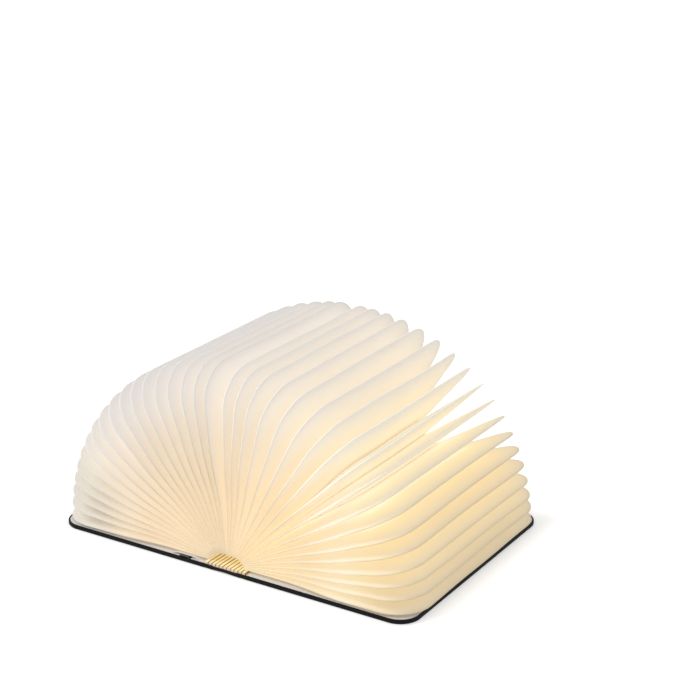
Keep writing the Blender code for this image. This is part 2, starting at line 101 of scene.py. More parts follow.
def make_camera():
    azimuth, elevation, distance = 31.98 * DEGREE, 20.16 * DEGREE, 0.8504
    target = Vector((0.00436, 0.0361, 0.0759))
    away = Vector((
        math.sin(azimuth) * math.cos(elevation),
        -math.cos(azimuth) * math.cos(elevation),
        math.sin(elevation),
    ))
    data = bpy.data.cameras.new("camera")
    data.lens = 92.4
    data.sensor_width = 36.0
    data.shift_x, data.shift_y = 0.0008, 0.0012
    camera = bpy.data.objects.new("camera", data)
    bpy.context.scene.collection.objects.link(camera)
    camera.location = target + distance * away
    camera.rotation_euler = (-away).to_track_quat("-Z", "Y").to_euler()
    bpy.context.scene.camera = camera


def area_light(name, place, aim, size, power, colour=(1.0, 1.0, 1.0)):
    data = bpy.data.lights.new(name, "AREA")
    data.shape = "DISK"
    data.size = size
    data.energy = power
    data.color = colour
    lamp = bpy.data.objects.new(name, data)
    bpy.context.scene.collection.objects.link(lamp)
    lamp.location = place
    lamp.rotation_euler = (Vector(aim) - Vector(place)).to_track_quat("-Z", "Y").to_euler()


def make_stage():
    bpy.context.scene.view_settings.view_transform = "Standard"
    world = bpy.data.worlds.new("studio")
    bpy.context.scene.world = world
    world.use_nodes = True
    nodes, links = world.node_tree.nodes, world.node_tree.links
    nodes.clear()
    out = nodes.new("ShaderNodeOutputWorld")
    light = nodes.new("ShaderNodeBackground")
    light.inputs["Color"].default_value = (1.0, 1.0, 1.0, 1.0)
    light.inputs["Strength"].default_value = WORLD_LIGHT
    seen = nodes.new("ShaderNodeBackground")
    seen.inputs["Color"].default_value = (1.0, 1.0, 1.0, 1.0)
    seen.inputs["Strength"].default_value = 1.0
    mix = nodes.new("ShaderNodeMixShader")
    links.new(camera_like(nodes, links), mix.inputs[0])
    links.new(light.outputs[0], mix.inputs[1])
    links.new(seen.outputs[0], mix.inputs[2])
    links.new(mix.outputs[0], out.inputs[0])

    floor_mesh = bpy.data.meshes.new("floor")
    shape = bmesh.new()
    bmesh.ops.create_circle(shape, cap_ends=True, segments=96, radius=FLOOR_RADIUS)
    shape.to_mesh(floor_mesh)
    shape.free()
    floor = bpy.data.objects.new("floor", floor_mesh)
    bpy.context.scene.collection.objects.link(floor)
    floor.location.z = -FLOOR_DROP
    made = bpy.data.materials.new("floor")
    made.use_nodes = True
    nodes, links = made.node_tree.nodes, made.node_tree.links
    nodes.clear()
    out = nodes.new("ShaderNodeOutputMaterial")
    diffuse = nodes.new("ShaderNodeBsdfDiffuse")
    diffuse.inputs["Color"].default_value = (0.8, 0.8, 0.8, 1.0)
    # Painted light: a camera-only white emission, weaker near the lamp's box, whitens the floor round a narrow contact
    # shadow.
    lift = nodes.new("ShaderNodeEmission")
    last = nodes.new("ShaderNodeTexCoord").outputs["Object"]
    for operation, value in (("ABSOLUTE", None), ("SUBTRACT", (HALF_SPAN, HALF_HIGH, 0.0)), ("MAXIMUM", (0.0,) * 3)):
        step = nodes.new("ShaderNodeVectorMath")
        step.operation = operation
        links.new(last, step.inputs[0])
        if value:
            step.inputs[1].default_value = value
        last = step.outputs["Vector"]
    away = nodes.new("ShaderNodeVectorMath")
    away.operation = "LENGTH"
    links.new(last, away.inputs[0])
    lifts = []
    for start, end, low, high, kind in FLOOR_LIFT:
        grow = nodes.new("ShaderNodeMapRange")
        grow.interpolation_type = kind
        links.new(away.outputs["Value"], grow.inputs["Value"])
        for socket, value in zip(("From Min", "From Max", "To Min", "To Max"), (start, end, low, high)):
            grow.inputs[socket].default_value = value
        lifts.append(grow.outputs["Result"])
    total = nodes.new("ShaderNodeMath")
    total.operation = "ADD"
    links.new(lifts[0], total.inputs[0])
    links.new(lifts[1], total.inputs[1])
    strength = nodes.new("ShaderNodeMath")
    strength.operation = "MULTIPLY"
    links.new(camera_like(nodes, links), strength.inputs[0])
    links.new(total.outputs[0], strength.inputs[1])
    links.new(strength.outputs[0], lift.inputs["Strength"])
    add = nodes.new("ShaderNodeAddShader")
    links.new(diffuse.outputs[0], add.inputs[0])
    links.new(lift.outputs[0], add.inputs[1])
    links.new(add.outputs[0], out.inputs["Surface"])
    floor_mesh.materials.append(made)


def camera_like(nodes, links):
    """1 for the rays that see the background: from the camera, in a reflection or through glass."""
    path = nodes.new("ShaderNodeLightPath")
    glossy = nodes.new("ShaderNodeMath")
    glossy.operation = "MAXIMUM"
    links.new(path.outputs["Is Camera Ray"], glossy.inputs[0])
    links.new(path.outputs["Is Glossy Ray"], glossy.inputs[1])
    through = nodes.new("ShaderNodeMath")
    through.operation = "MAXIMUM"
    links.new(glossy.outputs[0], through.inputs[0])
    links.new(path.outputs["Is Transmission Ray"], through.inputs[1])
    return through.outputs[0]


WORLD_LIGHT = 0.56
FLOOR_RADIUS = 9.0
FLOOR_DROP = 0.1 * MM
# The floor's lift by distance from the lamp's box, in metres: weaker within 14 mm and stronger further out, painted
# light that washes out the lamp's shadow beyond a narrow contact shadow.
FLOOR_LIFT = ((0.0, 0.014, 0.42, 0.62, "SMOOTHSTEP"), (0.01, 0.35, 0.0, 0.1, "LINEAR"))

make_camera()
make_stage()
area_light("key", (-1.3, -1.0, 1.5), (0.0, 0.0, 0.03), 1.3, 18.5)
area_light("fill", (1.5, -0.6, 1.1), (0.0, 0.0, 0.03), 1.2, 3.0)


# ---------------------------------------------------------------- materials

class Look:
    """A material with a Principled shader, and short ways to add nodes to it."""

    def __init__(self, name, colour, roughness, metallic=0.0, slot=None):
        self.name = name
        self.slot = slot or name
        self.material = bpy.data.materials.new(name)
        self.material.use_nodes = True
        self.nodes = self.material.node_tree.nodes
        self.links = self.material.node_tree.links
        self.shader = self.nodes["Principled BSDF"]
        self.set("Base Color", (*colour, 1.0))
        self.set("Roughness", roughness)
        self.set("Metallic", metallic)

    def set(self, socket, value):
        self.shader.inputs[socket].default_value = value

    def node(self, kind, **values):
        made = self.nodes.new("ShaderNode" + kind)
        for key, value in values.items():
            if hasattr(made, key):
                setattr(made, key, value)
            else:
                made.inputs[key.replace("_", " ")].default_value = value
        return made

    def link(self, a, b):
        self.links.new(a, b)
        return b

    def attribute(self, name):
        return self.node("Attribute", attribute_name=name, attribute_type="GEOMETRY")

    def rest(self, scale=(1.0, 1.0, 1.0)):
        """The place at rest, in metres, so that the pattern stays on the piece at every pose."""
        mapping = self.node("Mapping")
        mapping.inputs["Scale"].default_value = scale
        self.link(self.attribute("rest").outputs["Vector"], mapping.inputs["Vector"])
        return mapping.outputs["Vector"]

    def noise(self, scale, detail=3.0, rough=0.5, stretch=(1.0, 1.0, 1.0), distortion=0.0):
        made = self.node("TexNoise", Scale=scale, Detail=detail, Roughness=rough, Distortion=distortion)
        self.link(self.rest(stretch), made.inputs["Vector"])
        return made.outputs["Fac"]

    def voronoi(self, scale, feature="F1", stretch=(1.0, 1.0, 1.0)):
        made = self.node("TexVoronoi", feature=feature, Scale=scale)
        self.link(self.rest(stretch), made.inputs["Vector"])
        return made.outputs["Distance"]

    def math(self, operation, a, b=0.0, c=0.0, clamp=False):
        made = self.nodes.new("ShaderNodeMath")
        made.operation = operation
        made.use_clamp = clamp
        for socket, value in zip(made.inputs, (a, b, c)):
            if isinstance(value, (int, float)):
                socket.default_value = value
            else:
                self.links.new(value, socket)
        return made.outputs[0]

    def ramp(self, factor, *stops):
        made = self.nodes.new("ShaderNodeValToRGB")
        self.links.new(factor, made.inputs["Fac"])
        elements = made.color_ramp.elements
        while len(elements) < len(stops):
            elements.new(0.5)
        for element, (place, colour) in zip(elements, stops):
            element.position = place
            element.color = (*colour, 1.0) if isinstance(colour, tuple) else (colour, colour, colour, 1.0)
        return made.outputs["Color"]

    def mix(self, factor, a, b, blend="MIX"):
        made = self.nodes.new("ShaderNodeMix")
        made.data_type = "RGBA"
        made.blend_type = blend
        for socket, value in ((made.inputs["Factor"], factor), (made.inputs[6], a), (made.inputs[7], b)):
            if isinstance(value, tuple):
                socket.default_value = (*value, 1.0)
            elif isinstance(value, (int, float)):
                socket.default_value = value
            else:
                self.links.new(value, socket)
        return made.outputs[2]

    def colour(self, value):
        self.links.new(value, self.shader.inputs["Base Color"])

    def roughness(self, value):
        self.links.new(value, self.shader.inputs["Roughness"])

    def bump(self, height, distance, strength=1.0):
        made = self.node("Bump", Strength=strength, Distance=distance)
        self.links.new(height, made.inputs["Height"])
        if self.shader.inputs["Normal"].is_linked:
            self.links.new(self.shader.inputs["Normal"].links[0].from_socket, made.inputs["Normal"])
        self.links.new(made.outputs["Normal"], self.shader.inputs["Normal"])


def leatherette():
    look = Look("leatherette", (0.010, 0.010, 0.012), 0.55)
    cells = look.voronoi(1900.0, "SMOOTH_F1")
    fine = look.noise(5200.0, 4.0)
    broad = look.noise(90.0, 3.0)
    shade = look.ramp(broad, (0.3, (0.005, 0.005, 0.0055)), (0.75, (0.008, 0.008, 0.009)))
    look.colour(look.mix(look.math("MULTIPLY", cells, 0.6), shade, (0.012, 0.012, 0.014)))
    look.roughness(look.math("MULTIPLY_ADD", broad, 0.18, 0.48))
    look.bump(cells, 0.05 * MM, 0.55)
    look.bump(fine, 0.02 * MM, 0.4)
    look.set("Specular IOR Level", 0.10)
    return look


def paper(name, colour, tint, slot=None):
    look = Look(name, colour, 0.8, slot=slot)
    fibre = look.noise(700.0, 5.0, 0.6, distortion=1.5)
    broad = look.noise(60.0, 2.0)
    look.colour(look.mix(look.math("MULTIPLY", look.math("ADD", fibre, broad), 0.35), colour, tint))
    look.bump(fibre, 0.03 * MM, 0.4)
    # Painted light: a faint warm glow lifts the endpaper out of the shade beside the pleats.
    look.set("Emission Color", (1.0, 0.9, 0.8, 1.0))
    look.set("Emission Strength", 0.04)
    return look


def pleat_paper():
    """Spun fibre paper with painted light: a painted glow stands in for the spine's light through it, warm inside and
    less towards its sealed rim; its base colour holds painted warmth and tone, and its rims painted shade.
    """
    look = Look("pleat", (0.82, 0.80, 0.78), 0.72)
    lit = look.attribute("lit")
    split = look.node("SeparateColor")
    look.link(lit.outputs["Color"], split.inputs[0])
    depth, radius, painted_glow_level, tone = *split.outputs[:3], lit.outputs["Alpha"]
    fibre = look.noise(420.0, 6.0, 0.65, distortion=2.5)
    cloud = look.noise(45.0, 3.0)
    # Painted light in the base colour: warmer near the spine, and warmer or whiter by each pleat's painted tone.
    base = look.ramp(radius, *PAPER_PAINTED_WARMTH)
    base = look.mix(look.math("MULTIPLY", fibre, 0.5), base, (0.90, 0.89, 0.88), "MULTIPLY")
    base = look.mix(1.0, base, look.ramp(tone, *PAPER_PAINTED_TONE), "MULTIPLY")
    # Painted shade on the rims, near the spine and on the warmest-toned pleats.
    near_root = look.math("MULTIPLY_ADD", radius, -3.0, 2.3, clamp=True)
    warmest = look.math("MULTIPLY_ADD", tone, -6.0, 1.5, clamp=True)
    shaded = look.math("MAXIMUM", near_root, warmest)
    look.colour(look.mix(shaded, base, look.ramp(depth, *SEAM_PAINTED_SHADE), "MULTIPLY"))
    look.roughness(look.math("MULTIPLY_ADD", fibre, 0.2, 0.6))
    # How fast the painted glow fades towards the rim grows with the distance from the spine.
    width = look.math("MULTIPLY_ADD", look.math("POWER", radius, 1.6), RIM_FADE[1], RIM_FADE[0])
    inside = look.math("DIVIDE", look.math("ADD", depth, RIM_GLOW), look.math("MULTIPLY", width, -1.0))
    fade = look.math("SUBTRACT", 1.0, look.math("EXPONENT", inside))
    # Painted glow: strength by distance from the spine and by depth, times each point's painted level, tinted by the
    # painted tone.
    away = look.ramp(radius, *GLOW_AWAY)
    deep = look.ramp(depth, *GLOW_DEEP)
    level = look.math("MULTIPLY", fade, look.math("MULTIPLY_ADD", away, painted_glow_level, deep))
    level = look.math("MULTIPLY", level, look.math("MULTIPLY_ADD", cloud, 0.16, 0.92))
    level = look.math("MULTIPLY", level, look.math("MULTIPLY_ADD", fibre, 0.14, 0.93))
    warm = look.ramp(tone, *GLOW_TINT)
    look.link(warm, look.shader.inputs["Emission Color"])
    look.link(level, look.shader.inputs["Emission Strength"])
    look.bump(fibre, 0.05 * MM, 0.3)
    look.bump(cloud, 0.6 * MM, 0.15)
    return look


# The pleats' painted light: the painted glow's fade, strength and tint, the rims' painted shade, and the paper's
# painted warmth and tone.
# depth is in units of 50 mm from the rim, radius in units of 90 mm from the spine
RIM_FADE = (0.015, 0.125)
RIM_GLOW = 0.065
GLOW_AWAY = ((0.0, 0.34), (0.3, 0.30), (0.6, 0.25), (1.0, 0.25))
GLOW_DEEP = ((0.0, 0.0), (0.3, 0.03), (0.85, 0.06))
SEAM_PAINTED_SHADE = ((0.0, (0.80, 0.74, 0.62)), (0.01, (0.92, 0.89, 0.84)), (0.03, (0.98, 0.97, 0.96)), (0.06, 1.0))
GLOW_TINT = (
    (0.0, (1.0, 0.75, 0.39)), (0.12, (1.0, 0.83, 0.50)), (0.25, (1.0, 0.875, 0.59)), (0.36, (1.0, 0.85, 0.62)),
    (0.6, (1.0, 0.84, 0.69)), (1.0, (1.0, 0.93, 0.92)),
)
PAPER_PAINTED_TONE = ((0.0, (1.0, 0.965, 0.86)), (0.15, (1.0, 0.99, 0.95)), (0.25, (1.0, 1.0, 1.0)))
PAPER_PAINTED_WARMTH = (
    (0.0, (0.86, 0.76, 0.60)), (0.35, (0.87, 0.79, 0.67)), (0.7, (0.88, 0.845, 0.79)), (1.0, (0.89, 0.88, 0.87)),
)

LOOKS = {
    "leatherette": leatherette(),
    "endpaper": paper("endpaper", (0.74, 0.715, 0.70), (0.66, 0.635, 0.62)),
    "pleat": pleat_paper(),
}


def wood(name, slat_painted_glow):
    look = Look(name, (0.8, 0.55, 0.25), 0.5, slot="slat")
    grain = look.noise(260.0, 4.0, 0.6, (6.0, 0.35, 6.0))
    look.colour(look.ramp(grain, (0.25, (0.86, 0.74, 0.40)), (0.75, (0.95, 0.86, 0.54))))
    # Painted light: the slats glow warm, standing in for the light strip's light on them.
    look.set("Emission Color", (1.0, 0.80, 0.40, 1.0))
    look.set("Emission Strength", slat_painted_glow)
    look.bump(grain, 0.03 * MM, 0.5)
    return look


def slat_end():
    look = Look("slat_end", (0.86, 0.66, 0.52), 0.6, slot="slat")
    grain = look.noise(900.0, 4.0, 0.6)
    look.colour(look.ramp(grain, (0.3, (0.82, 0.60, 0.46)), (0.7, (0.92, 0.74, 0.60))))
    # Painted light: the slats' cut ends glow faintly, standing in for the light strip's light on them.
    look.set("Emission Color", (1.0, 0.75, 0.55, 1.0))
    look.set("Emission Strength", 0.12)
    look.bump(grain, 0.02 * MM, 0.4)
    return look


def simple(name, colour, roughness, metallic=0.0, grain=900.0, spread=0.15, depth=0.02, slot=None):
    """A finish with a fine mottle in its colour, gloss and surface."""
    look = Look(name, colour, roughness, metallic, slot)
    mottle = look.noise(grain, 4.0)
    low = tuple(c * (1 - spread) for c in colour)
    high = tuple(min(1.0, c * (1 + spread)) for c in colour)
    look.colour(look.ramp(mottle, (0.3, low), (0.7, high)))
    look.roughness(look.math("MULTIPLY_ADD", mottle, 0.15, roughness - 0.07))
    look.bump(mottle, depth * MM, 0.4)
    return look


LOOKS["slat"] = wood("slat", 0.2)
LOOKS["slat_end"] = slat_end()
# Painted shade: this dark brown is on the backing and on the slats' sides and undersides, where the kerfs between the
# slats lie in shade.
LOOKS["slat_backing"] = simple("slat_backing", (0.46, 0.30, 0.11), 0.7, grain=400.0, slot="slat")
LOOKS["phosphor"] = simple("phosphor", (0.95, 0.75, 0.25), 0.5, slot="circuit")
LOOKS["phosphor"].set("Emission Color", (1.0, 0.72, 0.36, 1.0))
LOOKS["phosphor"].set("Emission Strength", 3.0)
LOOKS["board"] = simple("board", (0.45, 0.38, 0.30), 0.85, grain=700.0, depth=0.04)
LOOKS["circuit"] = simple("circuit", (0.85, 0.85, 0.83), 0.45)
LOOKS["chip"] = simple("chip", (0.02, 0.02, 0.022), 0.4)
LOOKS["cell"] = simple("cell", (0.6, 0.6, 0.62), 0.35, 0.8, grain=300.0)
LOOKS["copper"] = simple("copper", (0.8, 0.45, 0.25), 0.4, 0.9)
LOOKS["plastic"] = simple("plastic", (0.016, 0.016, 0.018), 0.42, grain=2500.0)
LOOKS["steel"] = simple("steel", (0.30, 0.30, 0.31), 0.32, 1.0, grain=1500.0, spread=0.06)


# ---------------------------------------------------------------- meshes

def piece(name, vertices, faces, look, smooth=40.0, marks=None, extra=()):
    """A mesh object in the row frame, with its place at rest kept as an attribute."""
    mesh = bpy.data.meshes.new(name)
    mesh.from_pydata([tuple(v) for v in vertices], [], [tuple(f) for f in faces])
    shape = bmesh.new()
    shape.from_mesh(mesh)
    bmesh.ops.recalc_face_normals(shape, faces=shape.faces)
    shape.to_mesh(mesh)
    shape.free()
    mesh.materials.append(LOOKS[look].material)
    for other in extra:
        mesh.materials.append(LOOKS[other].material)
    if marks is not None:
        lit = mesh.attributes.new("lit", "FLOAT_COLOR", "POINT")
        lit.data.foreach_set("color", np.asarray(marks, np.float32).ravel())
    obj = bpy.data.objects.new(name, mesh)
    bpy.context.scene.collection.objects.link(obj)
    finish_mesh(obj, smooth)
    return obj


def finish_mesh(obj, smooth=40.0):
    mesh = obj.data
    mesh.shade_smooth()
    mesh.set_sharp_from_angle(angle=smooth * DEGREE)
    places = np.zeros(len(mesh.vertices) * 3, np.float32)
    mesh.vertices.foreach_get("co", places)
    rest = mesh.attributes.get("rest") or mesh.attributes.new("rest", "FLOAT_VECTOR", "POINT")
    rest.data.foreach_set("vector", places)


# ---------------------------------------------------------------- pleats

class Page:
    """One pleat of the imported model: its root and direction in the XZ plane, and its share of the cover's turn."""

    def __init__(self, side, index):
        share = (index + 0.5) / PAGES
        self.side, self.index = side, index
        self.name = f"page_{'front' if side > 0 else 'back'}_{index + 1:02d}"
        tips = FRONT_TIP_shares if side > 0 else BACK_TIP_shares
        out = ROOT_OUT[0] + (ROOT_OUT[1] - ROOT_OUT[0]) * share**2
        off = ROOT_OFF[0] + (ROOT_OFF[1] - ROOT_OFF[0]) * share
        ring = tips[index] * math.pi / 2
        tip = (RING_R * math.cos(ring) - HINGE_X, RING_R * math.sin(ring) + RING_Z - HINGE_Z)
        self.rise = math.atan2(tip[1], tip[0]) - math.atan2(off, out + PAGE_LONG)
        shut = COVER_CLOSE + (math.pi / 2 - COVER_CLOSE) * share
        self.rate = (shut - self.rise) / COVER_CLOSE
        turn = self.rise if side > 0 else math.pi - self.rise
        self.along = np.array((math.cos(turn), math.sin(turn)))
        cos, sin = math.cos(self.rise), math.sin(self.rise)
        self.root = np.array((
            side * (HINGE_X + out * cos - off * sin),
            HINGE_Z + out * sin + off * cos,
        ))

    def at(self, r):
        return self.root + r * self.along


def tail_step(r):
    share = min(1.0, max(0.0, (r - STEP_FROM) / (STEP_TO - STEP_FROM)))
    return TAIL_STEP * (1 + math.cos(math.pi * share)) / 2


def page_stations():
    """Places round a pleat from its tail root to its head root: rim (r, y) and valley line (r, y)."""
    straight = PAGE_LONG - PAGE_CORNER_R
    inner = VALLEY_R - VALLEY_CORNER_R
    half = []
    for step in range(TAIL_STEPS):
        r = straight * step / TAIL_STEPS
        half.append((r, -HALF_HIGH + tail_step(r), inner * r / straight, -VALLEY_SIDE))
    for step in range(CORNER_STEPS + 1):
        angle = math.pi / 2 * (step / CORNER_STEPS - 1)
        cos, sin = math.cos(angle), math.sin(angle)
        half.append((
            straight + PAGE_CORNER_R * cos,
            -HALF_HIGH + PAGE_CORNER_R * (1 + sin),
            inner + VALLEY_CORNER_R * cos,
            -VALLEY_SIDE + VALLEY_CORNER_R * (1 + sin),
        ))
    last = half[-1]
    for step in range(1, EDGE_STEPS):
        share = 1 - step / EDGE_STEPS
        half.append((last[0], last[1] * share, last[2], last[3] * share))
    middle = [(last[0], 0.0, last[2], 0.0)]
    return half + middle + [(a, -b, c, -d) for a, b, c, d in reversed(half)]


TAIL_STEPS = 20
CORNER_STEPS = 9
EDGE_STEPS = 6
SEAM_HALF = 0.22 * MM
VALLEY_GAP = 0.04 * MM
RIM_DEPTHS = (0.0, 0.5, 1.3, 2.6, 4.6, 7.5, 11.5, 17.0)
RIM_DEPTHS_M = tuple(depth * MM for depth in RIM_DEPTHS)
WAVE = 0.5 * MM


def wave(number, r, y):
    """How far a pleat strays from its plane, which the sheets beside it share."""
    place = Vector((number * 0.83, r / (34 * MM), y / (42 * MM)))
    return WAVE * (r / PAGE_LONG) * noise.noise(place) * 1.4


def smooth(t):
    t = min(1.0, max(0.0, t))
    return t * t * (3 - 2 * t)


def painted_glow_of(page, r, depth):
    """The painted glow of a pleat here, which stands in for the light through the paper and for the room light, more
    on some pleats than on others, with painted highlights along the seams: its strength, and its tone from warm at 0
    to white at 1.
    """
    share = (page.index + 0.5) / PAGES
    seam = smooth(1 - depth / (0.5 * MM))
    if page.side > 0:
        outer = smooth((r / MM - 45) / 30)
        deep = smooth((depth / MM - 15) / 12) * math.exp(-(((share - 0.36) / 0.14) ** 2))
        low = smooth((0.55 - share) / 0.25)
        level = 0.775 + 0.25 * deep
        level *= 1 + 0.85 * smooth((0.8 - share) / 0.3) * smooth((r / MM - 34) / 30) * math.exp(-depth / (4 * MM))
        level *= 1 - 0.3 * smooth((0.2 - share) / 0.17) * outer
        level *= 1 + seam * (0.45 + 1.1 * smooth((r / MM - 25) / 30) * (1 - low))
        inner_tone = 0.24 + 0.16 * share + 0.4 * deep
        outer_tone = float(np.interp(share, (0.3, 0.67, 1.0), (0.05, 0.33, 0.5)))
        outer_tone -= 0.05 * low * math.exp(-depth / (5 * MM))
    else:
        outer = smooth((r / MM - 50) / 26)
        level = 0.75 * (1 - 0.6 * smooth((0.45 - share) / 0.3) * smooth((r / MM - 44) / 26))
        level *= 1 + 0.35 * seam * smooth((40 - r / MM) / 20)
        inner_tone = 0.42
        outer_tone = float(np.interp(share, (0.3, 0.45, 0.6, 0.8, 1.0), (0.2, 0.7, 1.0, 0.85, 0.6)))
    return level, inner_tone + (outer_tone - inner_tone) * outer


def build_page(pages, number, stations):
    page = pages[number]
    around = {}
    for key, step in (("above", page.side), ("below", -page.side)):
        other = number + step
        if page.side > 0:
            other = number + (1 if key == "above" else -1)
        else:
            other = number - (1 if key == "above" else -1)
        around[key] = other if 0 <= other < len(pages) and not (key == "below" and page.index == 0) else None
    normal = np.array((-page.along[1], page.along[0])) * page.side

    def reach(key, r):
        """The vector from the pleat's plane halfway to its neighbour at this radius."""
        other = around[key]
        if other is None:
            here = page.at(r)
            start = page.root[1] - FLOOR_ROOT
            low = FLAT_TOP + FLOOR_GAP
            z = start + (low - start) * min(1.0, r / VALLEY_R)
            return np.array((0.0, z - here[1]))
        return (pages[other].at(r) - page.at(r)) / 2

    def stray(key, r, y):
        mine = wave(number, r, y)
        if key is None:
            return normal * mine * page.side
        other = around[key]
        theirs = wave(other, r, y) if other is not None else 0.0
        return normal * page.side * (mine + theirs) / 2

    vertices, marks = [], []
    chance = noise.noise(Vector((number * 1.7, 3.1, 0.4)))

    def sheet(key):
        rows = []
        for rim_r, rim_y, valley_r, valley_y in stations:
            total = math.hypot(valley_r - rim_r, valley_y - rim_y)
            full = np.linalg.norm(reach(key, valley_r)) - VALLEY_GAP
            row = []
            depths = [d * total / max(total, 30 * MM) for d in RIM_DEPTHS_M] + [
                total * share for share in (0.62, 0.8, 1.0)
            ]
            for depth in depths:
                u = depth / total
                r, y = rim_r + (valley_r - rim_r) * u, rim_y + (valley_y - rim_y) * u
                toward = reach(key, r)
                room = np.linalg.norm(toward)
                rounding = 1 - math.exp(-depth / (1.1 * MM))
                shape = PUFF * rounding * (1 - u) ** 1.5
                rise = SEAM_HALF + (full - SEAM_HALF) * u + min(shape, full * 0.5)
                rise = min(rise, room - VALLEY_GAP)
                direction = toward / room
                lean = stray(None, r, y) * (1 - u) + stray(key, r, y) * u
                x, z = page.at(r) + direction * rise + lean
                row.append(len(vertices))
                vertices.append((x, y, z))
                # The painted glow's strength and tone at this point, kept in the lit attribute.
                level, tone = painted_glow_of(page, r, depth)
                marks.append((depth / (50 * MM), r / (90 * MM), level * (1 + 0.08 * chance), tone))
            rows.append(row)
        return rows

    upper, lower = sheet("above"), sheet("below")
    faces = []
    for rows in (upper, lower):
        for one, two in zip(rows, rows[1:]):
            for a in range(len(one) - 1):
                faces.append((one[a], two[a], two[a + 1], one[a + 1]))
    for (one, two), (three, four) in zip(zip(upper, upper[1:]), zip(lower, lower[1:])):
        faces.append((one[0], two[0], four[0], three[0]))
        faces.append((one[-1], two[-1], four[-1], three[-1]))
    for end in (0, -1):
        for a in range(len(upper[end]) - 1):
            faces.append((upper[end][a], upper[end][a + 1], lower[end][a + 1], lower[end][a]))
    made = piece(page.name.replace("page", "pleat"), vertices, faces, "pleat", 100.0, marks)
    turn_with_cover(made, pages, number, around, normal)
    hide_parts(page.name)
    return made


def unsmooth(share):
    """The place between 0 and 1 at which the smooth step 3t^2 - 2t^3 has this value."""
    share = min(1.0, max(0.0, share))
    return 0.5 - math.sin(math.asin(1 - 2 * share) / 3)


def turn_with_cover(made, pages, number, around, normal):
    """Works out a pleat's shares of its neighbours' turns and the body of its side it would turn with, then only bakes
    the pleat's place into its mesh.
    """
    page = pages[number]

    def share(key):
        other = around[key]
        if other is None:
            return 1.0
        beside = pages[other]
        if beside.side != page.side:
            return 0.0
        return (min(1.0, page.rate) + min(1.0, beside.rate)) / 2

    up, down = share("above"), share("below")
    body, full = ("front_cover" if page.side > 0 else "back_cover"), 1.0
    best = abs(page.rate - 0.5)
    for other in pages:
        if other.side == page.side and other.index < page.index and down < other.rate < 1.0:
            if abs(page.rate / other.rate - 0.5) < best:
                best, body, full = abs(page.rate / other.rate - 0.5), other.name, other.rate
    here = page.at(VALLEY_R)
    far = {}
    for key in ("above", "below"):
        if around[key] is None:
            far[key] = -1.5 * MM
        else:
            far[key] = float((pages[around[key]].at(VALLEY_R) - here) @ normal) / 2
    low, high = unsmooth(up / full), unsmooth(down / full)
    if page.index == 0:
        low, high, far["below"] = unsmooth(up), 1.0, 0.0
    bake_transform(made)


PUFF = 0.2 * MM

FAN = [Page(1, i) for i in range(PAGES)] + [Page(-1, i) for i in reversed(range(PAGES))]
STATIONS = page_stations()
for place in range(len(FAN)):
    build_page(FAN, place, STATIONS)


# ---------------------------------------------------------------- covers and spine

def rim_profile(x):
    """The skin's section at an edge, x from the spine's middle: (distance in from the edge, height) in metres."""
    top = SPINE_TOP + (COVER_TOP - SPINE_TOP) * smooth((x - 5.0 * MM) / (2.5 * MM))
    lift = SPINE_LIFT * smooth(1 - x / (8.0 * MM))
    groove = GROOVE * math.exp(-(((x - GROOVE_X) / (1.1 * MM)) ** 2))
    lip = 0.03 + 0.97 * smooth((x - 12.4 * MM) / (1.2 * MM))
    low, top = lift + groove, top + lift
    outer = ((0.9, 0.0), (0.48, 0.01), (0.2, 0.1), (0.04, 0.3), (0.0, 0.58))
    upper = ((0.0, -0.55), (0.05, -0.24), (0.18, -0.06), (0.36, 0.0))
    turned = ((0.66, -0.26), (0.92, -0.36), (2.2, -0.38), (2.2, -0.45), (0.52, -0.46))
    points = [(n * MM, low + z * MM) for n, z in outer]
    points += [(n * MM, top + z * MM) for n, z in upper]
    points += [((0.38 + (n - 0.38) * lip) * MM, top + z * lip * MM) for n, z in turned]
    points += [(0.4 * MM, top - 0.6 * MM), (0.41 * MM, SKIN + 0.15 * MM), (0.6 * MM, SKIN)]
    return points


def edge_stations():
    """Places round a cover's edge from its tail end at the spine: (x, y, inward x, inward y)."""
    xs = [step * 0.8 * MM for step in range(22)]
    straight = HALF_SPAN - CORNER_R
    count = 12
    xs += [xs[-1] + (straight - xs[-1]) * step / count for step in range(1, count + 1)]
    half = [(x, -HALF_HIGH, 0.0, 1.0) for x in xs]
    for step in range(1, 15):
        angle = math.pi / 2 * (step / 14 - 1)
        cos, sin = math.cos(angle), math.sin(angle)
        half.append((straight + CORNER_R * cos, -HALF_HIGH + CORNER_R * (1 + sin), -cos, -sin))
    return half


def build_skin(side):
    """One continuous skin: half the spine, the flexing strip beside it and the cover's turned-up tray."""
    half = edge_stations()
    path = half + [(x, -y, nx, -ny) for x, y, nx, ny in reversed(half)]
    vertices, rows = [], []
    for x, y, nx, ny in path:
        row = []
        for inward, z in rim_profile(x):
            row.append(len(vertices))
            vertices.append((side * (x + nx * inward), y + ny * inward, z))
        rows.append(row)
    faces = []
    for one, two in zip(rows, rows[1:]):
        for a in range(len(one) - 1):
            faces.append((one[a], two[a], two[a + 1], one[a + 1]))
    count = len(rows)
    for end in (0, -1):
        for place in range(count // 2 - 1):
            a, b = rows[place], rows[place + 1]
            c, d = rows[count - 2 - place], rows[count - 1 - place]
            faces.append((a[end], b[end], c[end], d[end]))
    first, last = rows[0], rows[-1]
    faces.append(tuple(first) + tuple(reversed(last)))
    name = "front_skin" if side > 0 else "back_skin"
    skin = piece(name, vertices, faces, "leatherette", 35.0)
    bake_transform(skin)
    part = "front" if side > 0 else "back"
    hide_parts(part + "_wrap", part + "_hinge_strip", "spine_wrap")


